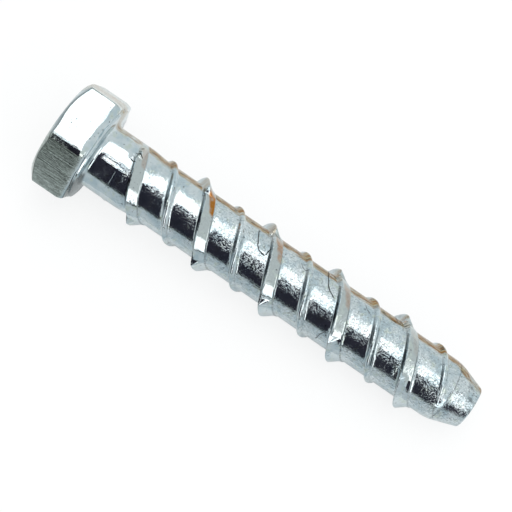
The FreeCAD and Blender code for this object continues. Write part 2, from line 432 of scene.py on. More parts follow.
@dataclass
class Thread:
    """The threaded core: a sloping land with tall ridges on it, and a low thread between.

    Outlines give heights at offsets along the screw from a thread's own helix. The burrs are small
    flakes of metal beside the first turn, on the shank's end and before the last ridge.
    """

    start: float = 3.5
    end: float = 72.8
    shank_length: float = 7.0
    step_length: float = 4.0
    shank_radius: float = 5.9
    core_radius: float = 5.6
    taper_start: float = 69.6
    taper_bend: float = 2.6
    taper_slope: float = 0.34
    foot_height: float = 0.25
    pitch: float = 13.74
    helix: float = 6.37
    lowest_offset: float = -2.4
    low_thread_offset: float = 7.545
    rows_per_turn: int = 240
    column_gap: float = 0.5
    least_gap: float = 0.055
    weld: float = 2e-3
    cut_reach: float = 1e-4
    first_turn_angle: float = -400.0
    turns: float = 6.4
    rolled_from: float = 5.72
    rolled_rise: float = 1.7
    run_out_from: float = 1572.7
    run_out: float = 84.0
    land_sink: float = 0.95
    ridge_sink: float = 1.75
    ridge_first: float = -244.5
    ridge_period: float = 343.5
    ridge_spans: tuple[float, ...] = (229.0, 229.0, 229.0, 229.0, 248.0, 229.0)
    ridge_foot: float = 0.35
    ridge_rise: float = 0.109
    ridge_fall: float = 0.141
    ridge_before: float = 1.5
    ridge_after: float = 6.5
    low_start: float = -244.0
    low_run_in: float = 45.0
    low_run_out_from: float = 1419.5
    low_run_out: float = 86.0
    low_sink: float = 0.8
    crest: float = 0.975
    crest_waves: Waves = ((0.013, 5.3, 0.0), (0.012, 12.7, 1.0))
    burrs: tuple[Spot, ...] = (
        Spot(5.55, -5.0, 0.32, 4.0, 0.20), Spot(5.0, 113.0, 0.35, 5.0, 0.10), Spot(57.0, -44.0, 1.0, 6.0, 0.05))
    land: Outline = (
        (-0.50, 0.0), (-0.38, 0.03), (-0.28, 0.13), (-0.04, 0.58), (0.06, 0.70), (0.18, 0.74), (0.32, 0.69),
        (1.92, 0.25), (2.03, 0.20), (2.11, 0.12), (2.18, 0.03), (2.30, 0.0),
    )
    ridge: Outline = (
        (-0.66, 0.0), (-0.54, 0.05), (-0.44, 0.24), (-0.20, 1.20), (-0.10, 1.50), (0.0, 1.60), (0.12, 1.57),
        (0.26, 1.45), (1.40, 0.46), (1.75, 0.22), (2.05, 0.08), (2.30, 0.0),
    )
    low: Outline = (
        (-0.85, 0.0), (-0.68, 0.04), (-0.54, 0.15), (-0.32, 0.56), (-0.20, 0.65), (0.0, 0.67), (0.20, 0.63),
        (0.36, 0.50), (0.64, 0.15), (0.82, 0.04), (1.0, 0.0),
    )

    def offsets(self) -> list[float]:
        """Choose the columns of one pitch.

        Returns:
            Their offsets, at the outlines' corners and evenly between them.
        """
        corners = {offset for offset, _ in (*self.land, *self.ridge)}
        corners |= {round(self.low_thread_offset + offset, 3) for offset, _ in self.low}
        corners |= {self.lowest_offset, self.lowest_offset + self.pitch}
        inner = sorted(corners)
        spaced: list[float] = [inner[0]]
        for offset in inner[1:]:
            last, gap = spaced[-1], offset - spaced[-1]
            if gap >= self.least_gap:
                parts = int(gap / self.column_gap) + 1
                spaced += [last + gap * (i + 1) / parts for i in range(parts - 1)]
                spaced.append(offset)
        spaced[-1] = self.lowest_offset + self.pitch
        return spaced

    def build(self) -> Object:
        """Sweep one pitch of columns round the screw and raise the threads from it.

        Returns:
            The threaded shell, open at both ends.
        """
        shell = self.swept_strip()
        first_x = self.helix + self.pitch * self.first_turn_angle / 360.0
        points = read_points(shell)
        angle, radius = around(points)
        write_points(shell, placed(points[:, 0] + first_x, angle + self.first_turn_angle, radius))
        self.trim(shell)
        x = read_points(shell)[:, 0]
        angle, _ = around(read_points(shell))
        write_points(shell, placed(x, angle, self.surface(x, angle)))
        return shell

    def swept_strip(self) -> Object:
        """Draw the row of columns as an edge chain and sweep it round the screw.

        Returns:
            The helical strip, each turn joined to the next.
        """
        deselect_all()
        bpy.ops.mesh.primitive_plane_add(size=1.0)
        strip = bpy.context.object
        strip.name = "thread_shell"
        offsets = self.offsets()
        with editing(strip):
            bpy.ops.mesh.merge(type="CENTER")
            bpy.ops.transform.translate(value=(offsets[0], 0.0, self.core_radius))
            for last, offset in zip(offsets, offsets[1:]):
                bpy.ops.mesh.extrude_region_move(TRANSFORM_OT_translate={"value": (offset - last, 0.0, 0.0)})
        screw = strip.modifiers.new("helix", "SCREW")
        screw.axis = "X"
        screw.angle = math.radians(360.0 * self.turns)
        screw.screw_offset = self.pitch * self.turns
        screw.iterations = 1
        screw.steps = screw.render_steps = round(self.rows_per_turn * self.turns)
        screw.use_smooth_shade = True
        make_active(strip)
        bpy.ops.object.modifier_apply(modifier=screw.name)
        with editing(strip):
            bpy.ops.mesh.select_all(action="SELECT")
            bpy.ops.mesh.remove_doubles(threshold=self.weld)
        return strip

    def trim(self, shell: Object) -> None:
        """Cut the strip off square at its two ends.

        Args:
            shell: The helical strip.
        """
        with editing(shell):
            for x, at_start in ((self.start, True), (self.end, False)):
                bpy.ops.mesh.select_all(action="SELECT")
                bpy.ops.mesh.bisect(
                    plane_co=(x, 0.0, 0.0), plane_no=(1.0, 0.0, 0.0),
                    clear_inner=at_start, clear_outer=not at_start, threshold=self.cut_reach,
                )

    def core(self, x: Array) -> Array:
        """Find the plain radius under the threads, of the shank, the core and the taper.

        Args:
            x: Places along the screw.

        Returns:
            The radius at each of them.
        """
        step = smoothstep(self.shank_length, self.shank_length + self.step_length, x)
        core = self.shank_radius + step * (self.core_radius - self.shank_radius)
        past = np.maximum(x - self.taper_start, 0.0)
        bent = past ** 2 / (2 * self.taper_bend)
        return core - self.taper_slope * np.where(past < self.taper_bend, bent, past - self.taper_bend / 2)

    def unwound(self, x: Array, angle: Array, lag: float = 0.0) -> tuple[Array, Array]:
        """Find how far round the nearest turn a place is, and how far along from that turn's helix.

        Args:
            x: The places along the screw.
            angle: The angles round it.
            lag: How far along from the main helix the thread's own helix is.

        Returns:
            The angle counted on from the first turn, and the distance from the helix.
        """
        lowest = self.lowest_offset if lag == 0.0 else -self.pitch / 2
        turn = np.floor((x - self.helix - lag - self.pitch * angle / 360.0 - lowest) / self.pitch)
        along = angle + 360.0 * turn
        return along, x - self.helix - lag - self.pitch * along / 360.0

    def surface(self, x: Array, angle: Array) -> Array:
        """Find the threaded surface.

        Args:
            x: The places along the screw.
            angle: The angles round it.

        Returns:
            The radius at each place and angle.
        """
        along, offset = self.unwound(x, angle)
        low_along, low_offset = self.unwound(x, angle, self.low_thread_offset)
        rolled = np.maximum(x - self.rolled_from, 0.0) * self.rolled_rise
        land = self.raised(self.land, offset) - self.land_sink * self.sunk(along, self.run_out_from, self.run_out)
        main = np.minimum(np.maximum(land, self.ridge_height(offset, along)), rolled)
        low = self.raised(self.low, low_offset)
        low -= self.low_sink * self.sunk(low_along, self.low_run_out_from, self.low_run_out)
        low -= self.low_sink * (1.0 - self.sunk(low_along, self.low_start, self.low_run_in))
        worn = self.crest + ripple(np.radians(along), self.crest_waves)
        raised = np.maximum(np.maximum(main, low), 0.0) * worn
        core = self.core(x)
        under = np.minimum(core, self.core_radius)
        under += np.clip(raised / self.foot_height, 0.0, 1.0) * (self.core_radius - under)
        burr = sum(spot.height * np.exp(-spot.apart(x, angle) ** 2) for spot in self.burrs)
        return np.maximum(core, under + raised) + burr

    @staticmethod
    def raised(outline: Outline, offset: Array) -> Array:
        """Return an outline's height at each offset, and none beyond its ends."""
        places, heights = zip(*outline)
        return np.interp(offset, places, heights, left=0.0, right=0.0)

    @staticmethod
    def sunk(along: Array, run_from: float, run: float) -> Array:
        """Return how far along a thread's run-in or run-out each angle is, from 0 to 1."""
        return np.clip((along - run_from) / run, 0.0, 1.0)

    def ridge_height(self, offset: Array, along: Array) -> Array:
        """Find the tall ridges' height, cut off by a slanting face at each end of each piece.

        Args:
            offset: The distances from the helix.
            along: The angles counted on from the first turn.

        Returns:
            The height at each place, below 0 where there is no ridge.
        """
        outline = self.raised(self.ridge, offset)
        outline = outline - self.ridge_sink * self.sunk(along, self.run_out_from, self.run_out)
        height = np.zeros_like(offset)
        for index, span in enumerate(self.ridge_spans):
            start = self.ridge_first + index * self.ridge_period
            before = self.ridge_foot + self.ridge_rise * (along - start + self.ridge_before)
            after = self.ridge_foot + self.ridge_fall * (start + span + self.ridge_after - along)
            height = np.maximum(height, np.minimum(outline, np.minimum(before, after)))
        return height


@dataclass(frozen=True)
class Lap:
    """A dark fold in the rolled surface, as a line through places along the screw and angles round it."""

    line: tuple[tuple[float, float], ...]
    strength: float = 1.0


@dataclass
class SurfaceMarks:
    """Where the surface is rough, brushed or folded, and where shade and brown and orange reflections are painted on
    it, kept as attributes of the mesh.

    A band or a streak lies along the screw, round it or beside a thread's helix, and a spot both along and round.
    """

    screw: Object
    thread: Thread
    head: HexHead
    lap_radius: float = 5.7
    lap_reach: float = 0.45
    laps: tuple[Lap, ...] = (
        Lap(((29.9, -32.0), (30.5, -16.0), (31.2, -2.0), (31.75, 2.5), (32.85, 4.8), (33.1, 1.5), (33.15, -10.0))),
        Lap(((43.3, -66.0), (43.85, -36.0), (44.6, -18.5), (45.2, -11.0), (46.4, -4.0))),
        Lap(((57.0, -67.0), (57.65, -45.0), (58.3, -41.0), (59.8, -47.0))),
        Lap(((54.5, -44.0), (56.0, -39.0), (57.6, -37.5)), 0.7),
        Lap(((51.7, -30.0), (52.1, -24.0), (52.9, -19.5)), 0.6),
        Lap(((38.9, -24.0), (39.65, -17.0), (40.6, -17.2)), 0.6),
        Lap(((48.4, 56.0), (48.0, 66.0), (47.9, 82.0)), 0.8),
        Lap(((17.0, 108.0), (20.0, 96.0), (21.5, 99.0)), 0.4),
        Lap(((34.2, 62.0), (35.4, 60.0), (37.0, 62.0)), 0.6),
        Lap(((70.7, -75.0), (70.9, -40.0), (71.2, -25.0), (71.5, 0.0), (71.65, 30.0), (71.6, 60.0), (71.4, 95.0)),
            0.45),
        Lap(((5.8, -16.8), (6.3, -16.2), (6.9, -13.0))),
        Lap(((5.5, -1.0), (6.3, -0.3))),
        Lap(((4.6, 33.0), (4.6, 50.0), (4.55, 64.0)), 0.2),
    )
    head_end: float = -0.5
    chamfer_end: float = -1.0
    land_edges: tuple[float, float] = (0.15, 2.1)
    land_start: float = 5.5
    land_rise: float = 0.12
    ridge_rise: float = 0.9
    threaded: Band = Band((5.2, 6.4))
    worked: Band = Band((13.0, 30.0), outside=0.35)
    pressed: Band = Band((32.0, 43.0), (64.0, 55.0), 1.0, 0.25)
    tapered: Band = Band((71.2, 71.6))
    tapered_pressed: Band = Band((30.0, 40.0), (68.0, 58.0), 1.0, 0.1)
    least_grain: float = 0.04
    core_grain: float = 0.96
    land_grain: float = 0.26
    shank_drawn: float = 0.3
    burnished: Band = Band((-110.0, -90.0), (52.0, 40.0))
    outer_face: Band = Band((-7.72, -7.78), inside=0.7)
    flat_length: Band = Band((-0.4, -1.2))
    lower_flats: Band = Band((27.0, 33.0))
    # Painted shade at the feet of the flanks, weaker on the far side, dark painted lines at the chamfer's rim and the
    # top corner, and a painted shadow under the head
    land_feet: tuple[Streak, ...] = (Streak(-0.24, 0.15, 0.85), Streak(2.12, 0.10, 0.40))
    low_feet: tuple[Streak, ...] = (Streak(-0.50, 0.10, 0.50), Streak(0.56, 0.10, 0.30))
    feet_from: Band = Band((5.3, 6.5))
    feet_lit: Band = Band((-40.0, 0.0), outside=0.35)
    chamfer_rim: Streak = Streak(0.0, 0.11, 0.75)
    top_corner: Streak = Streak(-30.0, 0.8, 0.6)
    top_corner_length: Band = Band((-3.0, -6.0))
    under_head: Band = Band((-0.62, -0.40), (0.75, 0.35))
    under_side: Band = Band((58.0, 70.0), (160.0, 130.0), inside=0.8)
    # Where the brown reflection is painted, in a strip along the far side
    brown_edge: Band = Band((70.0, 72.0), outside=-32.0, inside=-23.0)
    brown_fade: Band = Band((0.0, 13.0))
    brown_back: Band = Band((-80.0, -62.0))
    brown_from: Band = Band((-7.75, -7.3))
    brown_shank: tuple[float, float] = (5.0, 0.45)
    brown_core: tuple[float, float] = (0.3, 0.6)
    core_edges: tuple[float, float] = (-0.6, 2.2)
    # Where the orange reflection is painted on the land, a patch on each turn
    orange_reflection_middle: float = -16.0
    orange_reflection_amounts: tuple[float, ...] = (0.25, 1.0, 0.55, 0.35, 0.10)
    orange_reflection_patch: Band = Band((-48.0, -30.0), (4.0, -4.0))
    orange_reflection_edge: Band = Band((0.0, 0.35))
    orange_reflection_line: tuple[float, float, float] = (0.50, 0.028, -26.0)
    battered: tuple[Spot, ...] = (
        Spot(62.8, 18.0, 1.3, 14.0), Spot(5.9, -8.0, 0.7, 8.0), Spot(61.7, 40.0, 0.6, 14.0),
        Spot(31.8, -58.0, 1.2, 16.0), Spot(58.2, -58.0, 1.4, 14.0))
    battered_taper: Band = Band((71.2, 71.8), (76.1, 75.9), inside=0.45)
    battered_pressed: Band = Band((32.0, 42.0), (68.0, 58.0), 1.0, 0.1)
    points: Array = field(init=False)
    x: Array = field(init=False)
    angle: Array = field(init=False)
    along: Array = field(init=False)
    offset: Array = field(init=False)
    low_offset: Array = field(init=False)
    on_land: Array = field(init=False)
    on_ridge: Array = field(init=False)
    on_head: Array = field(init=False)

    def __post_init__(self) -> None:
        """Find where each point of the mesh is on the screw and on its threads."""
        self.points = read_points(self.screw)
        self.x = self.points[:, 0]
        self.angle, radius = around(self.points)
        self.along, self.offset = self.thread.unwound(self.x, self.angle)
        _, self.low_offset = self.thread.unwound(self.x, self.angle, self.thread.low_thread_offset)
        left, right = self.land_edges
        self.on_land = (self.offset > left) & (self.offset < right) & (self.x > self.land_start)
        self.on_land &= radius > self.thread.core_radius + self.land_rise
        self.on_ridge = radius >= self.thread.core_radius + self.ridge_rise
        self.on_head = self.x < self.head_end

    def write(self) -> None:
        """Write every mark, and each point's own place, on the mesh."""
        side, near = self.folds()
        marks = {
            "grain": self.grain(), "drawn": self.drawn(), "dull": self.dull(), "shade": self.shade(),
            "burnish": self.on_land * ~self.on_ridge * self.burnished.at(self.angle),
            "lap_side": side, "lap_near": near, "brown": self.brown(), "orange_reflection": self.orange_reflection(), "damage": self.damage(),
        }
        for name, values in marks.items():
            layer = self.screw.data.attributes.new(name, "FLOAT", "POINT")
            layer.data.foreach_set("value", values.astype(np.float32))
        layer = self.screw.data.attributes.new("own_place", "FLOAT_VECTOR", "POINT")
        layer.data.foreach_set("vector", self.points.astype(np.float32).ravel())

    def folds(self) -> tuple[Array, Array]:
        """Measure how far each point is from the nearest fold.

        Returns:
            The distance, less than 0 on the fold's one side, and the fold's strength where it is near.
        """
        nearest = np.full(self.x.shape, 1e3)
        side = np.full(self.x.shape, 1.0)
        strength = np.zeros_like(self.x)
        arc = np.radians(self.angle) * self.lap_radius
        for lap in self.laps:
            corners = [(at_x, math.radians(turn) * self.lap_radius) for at_x, turn in lap.line]
            for (x0, a0), (x1, a1) in zip(corners, corners[1:]):
                long, wide, past, beside = x1 - x0, a1 - a0, self.x - x0, arc - a0
                held = np.clip((past * long + beside * wide) / math.hypot(long, wide) ** 2, 0.0, 1.0)
                apart = np.hypot(past - held * long, beside - held * wide)
                closer = apart < nearest
                side = np.where(closer, np.where(past * wide - beside * long < 0, -1.0, 1.0), side)
                strength = np.where(closer, lap.strength, strength)
                nearest = np.minimum(nearest, apart)
        near = smoothstep(self.lap_reach, self.lap_reach * 0.5, nearest)
        return side * np.minimum(nearest, 1.0), near * strength

    def grain(self) -> Array:
        """Find how rough rolling left the surface.

        Returns:
            The roughness, most on the core and the taper and least where the dies pressed hard.
        """
        rolled = self.threaded.at(self.x) * self.worked.at(self.x) * self.pressed.at(self.angle)
        kind = np.where(self.on_land, self.land_grain, self.core_grain)
        return self.least_grain + rolled * kind + self.tapered.at(self.x) * self.tapered_pressed.at(self.angle)

    def drawn(self) -> Array:
        """Return how strong the draw marks are: whole on the head, and faint on the shank."""
        return np.where(self.on_head, 1.0, self.shank_drawn * (1.0 - self.threaded.at(self.x)))

    def dull(self) -> Array:
        """Return how dull the head is: its outer face, and its flats but for the top one."""
        on_flats = self.flat_length.at(self.x) * self.lower_flats.at(np.abs(self.angle))
        return np.maximum(on_flats, self.outer_face.at(self.x))

    def shade(self) -> Array:
        """Find how much painted shade darkens the plate, in lines and under the head.

        Returns:
            The painted shade at the foot of each flank, at the chamfer's edge and top corner, and the painted shadow
            under the head.
        """
        feet = np.zeros_like(self.x)
        for offset, streaks in ((self.offset, self.land_feet), (self.low_offset, self.low_feet)):
            for streak in streaks:
                feet = np.maximum(feet, streak.at(offset))
        feet *= self.feet_from.at(self.x) * self.feet_lit.at(self.angle)
        # Painted dark lines at the chamfer's edge and the top corner, and a painted shadow under the head
        rim = self.chamfer_rim.at(self.x - self.head.chamfer_edge(self.angle))
        corner = self.top_corner.at(self.angle) * self.top_corner_length.at(self.x)
        under = self.under_side.at(self.angle) * self.under_head.at(self.x)
        return feet + np.maximum(np.maximum(rim, corner) * (self.x < self.chamfer_end), under)

    def brown(self) -> Array:
        """Find how much brown reflection is painted on the plate, in a strip along the far side.

        Returns:
            The painted reflection, less on the head, the shank and the low thread, and none on the land.
        """
        strip = self.brown_fade.at(self.brown_edge.at(self.x) - self.angle) * self.brown_back.at(self.angle)
        left, right = self.core_edges
        shank_end, on_shank = self.brown_shank
        on_thread, more_on_core = self.brown_core
        on_core = (self.offset > right) | (self.offset < left)
        amount = np.where(self.x < shank_end, on_shank, on_thread + more_on_core * on_core)
        return strip * self.brown_from.at(self.x) * amount * ~self.on_land

    def orange_reflection(self) -> Array:
        """Find how much orange reflection is painted on the land.

        Returns:
            The amount, in one patch on the far side of each turn.
        """
        turn = np.rint((self.along - self.orange_reflection_middle) / 360.0)
        amount = np.zeros_like(self.along)
        for number, value in enumerate(self.orange_reflection_amounts):
            amount = np.where(turn == number, value, amount)
        at = self.along - 360.0 * turn
        offset, slant, middle = self.orange_reflection_line
        edge = self.orange_reflection_edge.at(self.offset - offset - slant * (at - middle))
        return amount * self.orange_reflection_patch.at(at) * edge * self.on_land

    def damage(self) -> Array:
        """Return how battered the surface is: all round the taper, and in spots on ridges and the first turn."""
        spots = sum(np.exp(-spot.apart(self.x, self.angle)) for spot in self.battered)
        return np.clip(spots + self.battered_taper.at(self.x) * self.battered_pressed.at(self.angle), 0.0, 1.0)


@dataclass
class ConcreteScrew:
    """The whole screw: head, thread and tip joined into one closed mesh."""

    frame: ScrewFrame
    length: float = 76.2
    seam: float = 0.25
    seam_reach: float = 1e-3
    crease_angle: float = 32.0
    head: HexHead = field(default_factory=HexHead)
    thread: Thread = field(default_factory=Thread)

    def build(self, material: Material) -> Object:
        """Join the shells, close the seams between them and put the screw in its place.

        Args:
            material: The finish of the whole screw.

        Returns:
            The finished piece, at the origin, with its place in its mesh.
        """
        thread = self.thread
        tip = Tip(thread.end + self.seam, self.length, lambda x: float(thread.core(np.array(x))))
        shells = [self.head.build(), thread.build(), tip.build()]
        deselect_all()
        for shell in shells:
            shell.select_set(True)
        bpy.context.view_layer.objects.active = shells[0]
        bpy.ops.object.join()
        screw = bpy.context.object
        screw.name = "screw"
        self.bridge(screw, self.head.shank_end, thread.start)
        self.bridge(screw, thread.end, tip.start)
        with editing(screw):
            bpy.ops.mesh.select_all(action="SELECT")
            bpy.ops.mesh.normals_make_consistent(inside=False)
        SurfaceMarks(screw, thread, self.head).write()
        write_points(screw, np.array([self.frame.matrix @ Vector(p) for p in read_points(screw)]))
        make_active(screw)
        bpy.ops.object.shade_smooth_by_angle(angle=math.radians(self.crease_angle))
        screw.data.materials.clear()
        screw.data.materials.append(material)
        return screw

    def bridge(self, screw: Object, first_x: float, second_x: float) -> None:
        """Bridge the open edge loops that lie at two places along the screw.

        Args:
            screw: The joined shells.
            first_x: The first loop's place.
            second_x: The second loop's place.
        """
        with editing(screw):
            bpy.ops.mesh.select_mode(type="EDGE")
            bpy.ops.mesh.select_all(action="DESELECT")
        x = read_points(screw)[:, 0]
        close = np.minimum(np.abs(x - first_x), np.abs(x - second_x)) < self.seam_reach
        uses = np.zeros(len(screw.data.edges), int)
        edge_of_loop = np.zeros(len(screw.data.loops), int)
        screw.data.loops.foreach_get("edge_index", edge_of_loop)
        np.add.at(uses, edge_of_loop, 1)
        for edge in screw.data.edges:
            edge.select = bool(uses[edge.index] == 1 and close[edge.vertices[0]] and close[edge.vertices[1]])
        with editing(screw):
            bpy.ops.mesh.bridge_edge_loops()


# Finish


def linear(hex_colour: str) -> tuple[float, float, float, float]:
    """Turn an sRGB hex colour into Blender's linear colour.

    Args:
        hex_colour: The colour, such as #c8d1d4.

    Returns:
        Red, green, blue and a whole alpha.
    """
    parts = [int(hex_colour[i:i + 2], 16) / 255.0 for i in (1, 3, 5)]
    values = [c / 12.92 if c <= 0.04045 else ((c + 0.055) / 1.055) ** 2.4 for c in parts]
    return (*values, 1.0)


class Wrap(Enum):
    """What a pattern is laid on: the metal as a solid, or its surface unrolled round the screw."""

    SOLID = "solid"
    UNROLLED = "unrolled"


class Cut(Enum):
    """How a noise becomes a pattern: a step between two levels, or thin lines along its middle level."""

    STEP = "step"
    LINES = "lines"


@dataclass
class NodeSheet:
    """A new material's nodes, and where a point is, in millimetres, for each way of laying a pattern."""

    name: str
    places: dict[Wrap, Socket] = field(default_factory=dict)
    material: Material = field(init=False)

    def __post_init__(self) -> None:
        """Create the material, with nothing in it."""
        self.material = bpy.data.materials.new(self.name)
        self.material.use_nodes = True
        self.material.node_tree.nodes.clear()

    def add(self, kind: str, settings: dict[str, Any], links: dict[Any, Any]) -> bpy.types.Node:
        """Add a node, set its properties and sockets, and link its inputs.

        Args:
            kind: The node's type.
            settings: Properties by name.
            links: Input sockets, by name or number, each with a value or with a socket to link from.

        Returns:
            The new node.
        """
        tree = self.material.node_tree
        node = tree.nodes.new(kind)
        for name, value in settings.items():
            setattr(node, name, value)
        for socket, value in links.items():
            if isinstance(value, Socket):
                tree.links.new(value, node.inputs[socket])
            else:
                node.inputs[socket].default_value = value
        return node


def plain_material(name: str, kind: str, links: dict[Any, Any]) -> Material:
    """Make a material of one shader, for the stage.

    Args:
        name: The material's name.
        kind: The shader's type.
        links: Its inputs and their values.

    Returns:
        The material.
    """
    sheet = NodeSheet(name)
    shader = sheet.add(kind, {}, links)
    sheet.add("ShaderNodeOutputMaterial", {}, {"Surface": shader.outputs[0]})
    return sheet.material


@dataclass(frozen=True)
class Pattern:
    """A noise whose grains have a real size along and round the screw, cut between two of its levels."""

    along: float
    round: float
    low: float
    high: float
    most: float = 1.0
    least: float = 0.0
    detail: float = 2.0
    warp: float = 0.0
    wrap: Wrap = Wrap.SOLID
    cut: Cut = Cut.STEP

    def build(self, sheet: NodeSheet) -> Socket:
        """Add the pattern's nodes.

        Args:
            sheet: The material's nodes.

        Returns:
            The pattern's value, between least and most.
        """
        counts = (1.0 / self.along, 1.0 / self.round, 1.0 / self.round)
        scaled = sheet.add("ShaderNodeVectorMath", {"operation": "MULTIPLY"}, {0: sheet.places[self.wrap], 1: counts})
        noise = sheet.add("ShaderNodeTexNoise", {}, {
            "Vector": scaled.outputs[0], "Scale": 1.0, "Detail": self.detail, "Distortion": self.warp})
        level = noise.outputs["Fac"]
        if self.cut is Cut.LINES:
            centred = sheet.add("ShaderNodeMath", {"operation": "SUBTRACT"}, {0: level, 1: 0.5})
            level = sheet.add("ShaderNodeMath", {"operation": "ABSOLUTE"}, {0: centred.outputs[0]}).outputs[0]
        step = sheet.add("ShaderNodeMapRange", {"interpolation_type": "SMOOTHSTEP"}, {
            "Value": level, "From Min": self.low, "From Max": self.high, "To Min": self.least, "To Max": self.most})
        return step.outputs[0]


@dataclass(frozen=True)
class Layer:
    """A tint or a relief of the plate: patterns, kept to where one of the mesh's marks is."""

    patterns: tuple[Pattern, ...] = ()
    mark: str = ""
    amount: float = 1.0
    colour: str = ""

    def strength(self, sheet: NodeSheet) -> Socket:
        """Add the layer's nodes.

        Args:
            sheet: The material's nodes.

        Returns:
            The amount times the patterns and the mark.
        """
        factors = [pattern.build(sheet) for pattern in self.patterns]
        if self.mark:
            factors.append(sheet.add("ShaderNodeAttribute", {"attribute_name": self.mark}, {}).outputs["Fac"])
        product: Any = self.amount
        for factor in factors:
            product = sheet.add("ShaderNodeMath", {"operation": "MULTIPLY"}, {0: factor, 1: product}).outputs[0]
        return product


@dataclass(frozen=True)
class ZincPlate:
    """Bright zinc plate on rolled steel, a thin metal coat electroplated over forged and rolled skin.

    It gives the eye a bluish mirror: clear where the dies pressed it, broken into specks where the
    core was only rolled, brown and orange where reflections of warm things are painted, grey where shade is
    painted, and black in the folds.
    Sizes of patterns and heights are in millimetres.
    """

    colour: str = "#c8d1d4"
    fold: str = "#14130f"
    smooth: float = 0.05
    worn: float = 0.13
    # Extra roughness where the brown reflection is painted
    brown_roughness: float = 0.08
    unrolled_radius: float = 5.7
    fold_outer: float = 0.136
    fold_inner: float = 0.0425
    fold_waver: float = 0.22
    fold_depth: float = 0.03
    fold_roughness: float = 0.5
    tints: tuple[Layer, ...] = (
        # Cool and green clouds of the passivated coat, a few millimetres wide
        Layer((Pattern(2.9, 2.9, 0.40, 0.65, detail=3.0),), colour="#b3c2c8"),
        Layer(mark="burnish", colour="#b4bcbc"),
        Layer(mark="dull", colour="#b4bcb7"),
        Layer((Pattern(1.1, 1.4, 0.52, 0.75),), colour="#bfc9c3"),
        # Hairline cracks in the rolled skin, drawn about 0.05 mm wide, twice as wide as real ones, so that they show
        Layer((Pattern(1.25, 0.85, 0.014, 0.0, 0.75, detail=4.0, warp=0.8, wrap=Wrap.UNROLLED, cut=Cut.LINES),),
              "grain", colour="#454b4b"),
        # Grit pressed into the core, drawn at 0.3 mm, about twice as coarse as it is, so that it shows
        Layer((Pattern(0.45, 0.25, 0.54, 0.70, 0.40, wrap=Wrap.UNROLLED),), "grain", colour="#6f797b"),
        # Forge scale under the coat of the head's flats, drawn at 0.3 mm where the real grains are 0.1 mm
        Layer((Pattern(0.42, 0.24, 0.44, 0.64, 0.38, detail=3.0),), "dull", colour="#5d615c"),
        Layer((Pattern(3.0, 0.22, 0.50, 0.66, 0.34, detail=3.0),), "dull", colour="#4c4f4b"),
        # Scattered pits, up to 0.4 mm wide
        Layer((Pattern(0.42, 0.42, 0.70, 0.75, 0.8, detail=1.0),), colour="#3c4144"),
        # Painted shade, a dark grey at the feet of the flanks and along the chamfer's edge, at the top corner and
        # under the head
        Layer(mark="shade", colour="#3a403f"),
        # Painted reflection of something brown, in streaks that lie along the screw
        Layer((Pattern(2.4, 0.60, 0.32, 0.60, 1.4, 0.25, detail=3.0, wrap=Wrap.UNROLLED),), "brown", colour="#a39672"),
        Layer((Pattern(2.0, 0.48, 0.42, 0.58, 1.5, detail=3.0, wrap=Wrap.UNROLLED),), "brown", colour="#8a6230"),
        Layer((Pattern(1.2, 0.34, 0.54, 0.65, 1.2, detail=3.0, wrap=Wrap.UNROLLED),), "brown", colour="#2f2618"),
        # Painted reflection of something orange on the land, in blots a little under a millimetre wide
        Layer((Pattern(0.8, 0.8, 0.25, 0.60, 1.15, 0.55, detail=3.0),), "orange_reflection", colour="#a46a26"),
    )
    reliefs: tuple[Layer, ...] = (
        # Orange peel of the coat
        Layer((Pattern(0.62, 0.62, 0.20, 0.80, detail=1.0),), amount=0.006),
        # The same grit as a relief, in patches some 3 mm wide
        Layer((Pattern(0.42, 0.24, 0.48, 0.66, wrap=Wrap.UNROLLED, warp=0.3),
               Pattern(3.2, 3.2, 0.42, 0.58, 0.9, 0.4)), "grain", 0.031),
        # Draw marks along the shank and the head's flats
        Layer((Pattern(6.0, 0.17, 0.20, 0.80),), "drawn", 0.010),
        # Dents about 0.4 mm wide where the metal is battered
        Layer((Pattern(0.42, 0.42, 0.20, 0.80),), "damage", 0.08),
    )

    def material(self) -> Material:
        """Draw the plated metal.

        Returns:
            The material, which reads the marks and the own place kept on the mesh.
        """
        sheet = NodeSheet("bright_zinc_plate")
        own = sheet.add("ShaderNodeAttribute", {"attribute_name": "own_place"}, {}).outputs["Vector"]
        axes = sheet.add("ShaderNodeSeparateXYZ", {}, {0: own})
        turn = sheet.add("ShaderNodeMath", {"operation": "ARCTAN2"}, {0: axes.outputs["Y"], 1: axes.outputs["Z"]})
        arc = sheet.add("ShaderNodeMath", {"operation": "MULTIPLY"}, {0: turn.outputs[0], 1: self.unrolled_radius})
        flat = sheet.add("ShaderNodeCombineXYZ", {}, {"X": axes.outputs["X"], "Y": arc.outputs[0]})
        sheet.places = {Wrap.SOLID: own, Wrap.UNROLLED: flat.outputs[0]}
        fold = self.folds(sheet)
        shader = sheet.add("ShaderNodeBsdfPrincipled", {}, {
            "Base Color": self.tint(sheet, fold), "Metallic": 1.0,
            "Roughness": self.roughness(sheet, fold), "Normal": self.relief(sheet, fold)})
        sheet.add("ShaderNodeOutputMaterial", {}, {"Surface": shader.outputs[0]})
        return sheet.material

